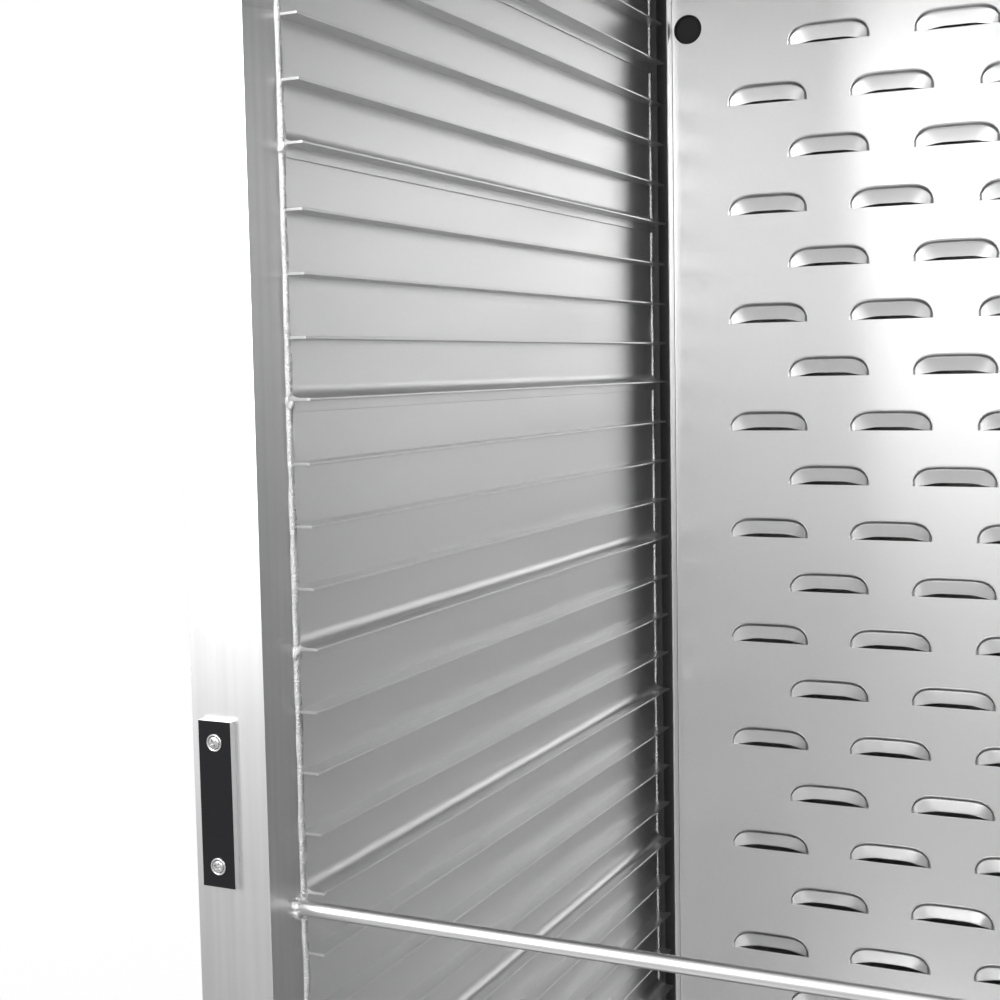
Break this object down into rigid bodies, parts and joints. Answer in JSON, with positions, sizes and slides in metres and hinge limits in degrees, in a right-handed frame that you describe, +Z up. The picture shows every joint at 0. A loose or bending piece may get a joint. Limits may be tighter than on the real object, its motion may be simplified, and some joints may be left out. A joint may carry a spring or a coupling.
{
  "type": "proofing cabinet",
  "caption": "Mobile aluminium proofing cabinet with integral pan ledges in stacked wall planks, a louvred air duct, a windowed door and a heat module.",
  "frame": {"origin": "under the middle of the overall box with the door open at rest, on the floor", "axes": "+Z up, +Y from the door opening towards the back, +X towards the hinge side"},
  "size_m": [0.8954, 1.325, 1.7473],
  "materials": {
    "satin_aluminium": "satin, vertical brushed streaks",
    "plank_aluminium": "satin mill finish",
    "duct_steel": "fine satin",
    "black_plate": "gloss black",
    "zinc_screw": "bright zinc",
    "polished_steel": "polished",
    "clear_pane": "clear",
    "black_rubber": "matte",
    "grey_rubber": "matte",
    "magnet_block": "matte",
    "black_plastic": "semi-gloss",
    "dial_steel": "satin",
    "amber_lens": "gloss",
    "galvanised_steel": "galvanised",
    "element_steel": "heat-darkened",
    "motor_paint": "satin black",
    "inlet_plastic": "matte",
    "wheel_tread": "matte",
    "zinc_steel": "zinc plated"
  },
  "bodies": {
    "cabinet": {"base_frame": "satin_aluminium", "left_front_post": "satin_aluminium", "right_front_post": "satin_aluminium", "rear_frame": "satin_aluminium", "header_rail": "satin_aluminium", "sill_rail": "satin_aluminium", "left_side_panel": "satin_aluminium", "right_side_panel": "satin_aluminium", "top_cover": "satin_aluminium", "ceiling_liner": "plank_aluminium", "floor_liner": "duct_steel", "back_panel": "satin_aluminium", "duct_panel": "duct_steel", "tie_bar": "satin_aluminium", "strike_plate": "black_plate", "strike_plate_screws": "zinc_screw", "post_hinge_leaves": "polished_steel", "hinge_pins": "polished_steel", "module_housing": "galvanised_steel", "control_panel": "duct_steel", "thermometer": "dial_steel", "pilot_lamps": "amber_lens", "heating_element": "element_steel", "blower_motor": "motor_paint", "power_inlet": "inlet_plastic", "caster_plates": "zinc_steel", "wall_planks_course_1": "plank_aluminium", "wall_planks_course_2": "plank_aluminium", "wall_planks_course_3": "plank_aluminium", "wall_planks_course_4": "plank_aluminium", "wall_planks_course_5": "plank_aluminium", "wall_planks_course_6": "plank_aluminium", "wall_planks_course_7": "plank_aluminium", "wall_planks_course_8": "plank_aluminium", "wall_planks_course_9": "plank_aluminium", "rear_forks": "zinc_steel", "rear_axles": "zinc_steel"},
    "door": {"door_frame": "satin_aluminium", "door_liner": "satin_aluminium", "door_window": "clear_pane", "window_seal": "black_rubber", "door_gasket": "grey_rubber", "door_handle": "polished_steel", "latch_magnet": "magnet_block", "door_hinge_leaves": "polished_steel"},
    "heat_dial": {"heat_knob": "black_plastic"},
    "humidity_dial": {"humidity_knob": "black_plastic"},
    "rocker": {"power_switch": "black_plastic"},
    "pan": {"water_pan": "duct_steel"},
    "fan": {"blower_wheel": "galvanised_steel"},
    "front_left_swivel": {"front_left_fork": "zinc_steel", "front_left_axle": "zinc_steel"},
    "front_right_swivel": {"front_right_fork": "zinc_steel", "front_right_axle": "zinc_steel"},
    "front_left_roller": {"front_left_wheel": "wheel_tread"},
    "front_right_roller": {"front_right_wheel": "wheel_tread"},
    "rear_left_roller": {"rear_left_wheel": "wheel_tread"},
    "rear_right_roller": {"rear_right_wheel": "wheel_tread"},
    "left_brake": {"left_brake_pedal": "zinc_steel"},
    "right_brake": {"right_brake_pedal": "zinc_steel"}
  },
  "joints": [
    {"name": "door_hinge", "type": "hinge", "parent": "cabinet", "child": "door", "pos_m": [0.12926, -0.14452, 1.0169], "axis": [0, 0, 1], "range_deg": [-120, 60]},
    {"name": "heat_knob_turn", "type": "hinge", "parent": "cabinet", "child": "heat_dial", "pos_m": [-0.29274, -0.09452, 0.2415], "axis": [0, -1, 0], "range_deg": [0, 300]},
    {"name": "humidity_knob_turn", "type": "hinge", "parent": "cabinet", "child": "humidity_dial", "pos_m": [-0.20274, -0.09452, 0.2415], "axis": [0, -1, 0], "range_deg": [0, 300]},
    {"name": "power_switch_rock", "type": "hinge", "parent": "cabinet", "child": "rocker", "pos_m": [-0.36274, -0.09052, 0.2415], "axis": [-1, 0, 0], "range_deg": [0, 14.4]},
    {"name": "water_pan_slide", "type": "slide", "parent": "cabinet", "child": "pan", "axis": [0, -1, 0], "range_m": [0, 0.28]},
    {"name": "blower_spin", "type": "hinge", "parent": "cabinet", "child": "fan", "pos_m": [-0.16274, 0.44248, 0.2405], "axis": [1, 0, 0], "continuous": true},
    {"name": "front_left_swivel_turn", "type": "hinge", "parent": "cabinet", "child": "front_left_swivel", "pos_m": [-0.39374, -0.04052, 0.145], "axis": [0, 0, 1], "continuous": true},
    {"name": "front_left_wheel_roll", "type": "hinge", "parent": "front_left_swivel", "child": "front_left_roller", "pos_m": [-0.39374, -0.00252, 0.0635], "axis": [1, 0, 0], "continuous": true},
    {"name": "left_brake_release", "type": "hinge", "parent": "front_left_swivel", "child": "left_brake", "pos_m": [-0.39374, 0.00148, 0.132], "axis": [1, 0, 0], "range_deg": [0, 14]},
    {"name": "rear_left_wheel_roll", "type": "hinge", "parent": "cabinet", "child": "rear_left_roller", "pos_m": [-0.39374, 0.56548, 0.0635], "axis": [1, 0, 0], "continuous": true},
    {"name": "front_right_swivel_turn", "type": "hinge", "parent": "cabinet", "child": "front_right_swivel", "pos_m": [0.06826, -0.04052, 0.145], "axis": [0, 0, 1], "continuous": true},
    {"name": "front_right_wheel_roll", "type": "hinge", "parent": "front_right_swivel", "child": "front_right_roller", "pos_m": [0.06826, -0.00252, 0.0635], "axis": [1, 0, 0], "continuous": true},
    {"name": "right_brake_release", "type": "hinge", "parent": "front_right_swivel", "child": "right_brake", "pos_m": [0.06826, 0.00148, 0.132], "axis": [1, 0, 0], "range_deg": [0, 14]},
    {"name": "rear_right_wheel_roll", "type": "hinge", "parent": "cabinet", "child": "rear_right_roller", "pos_m": [0.06826, 0.56548, 0.0635], "axis": [1, 0, 0], "continuous": true}
  ]
}
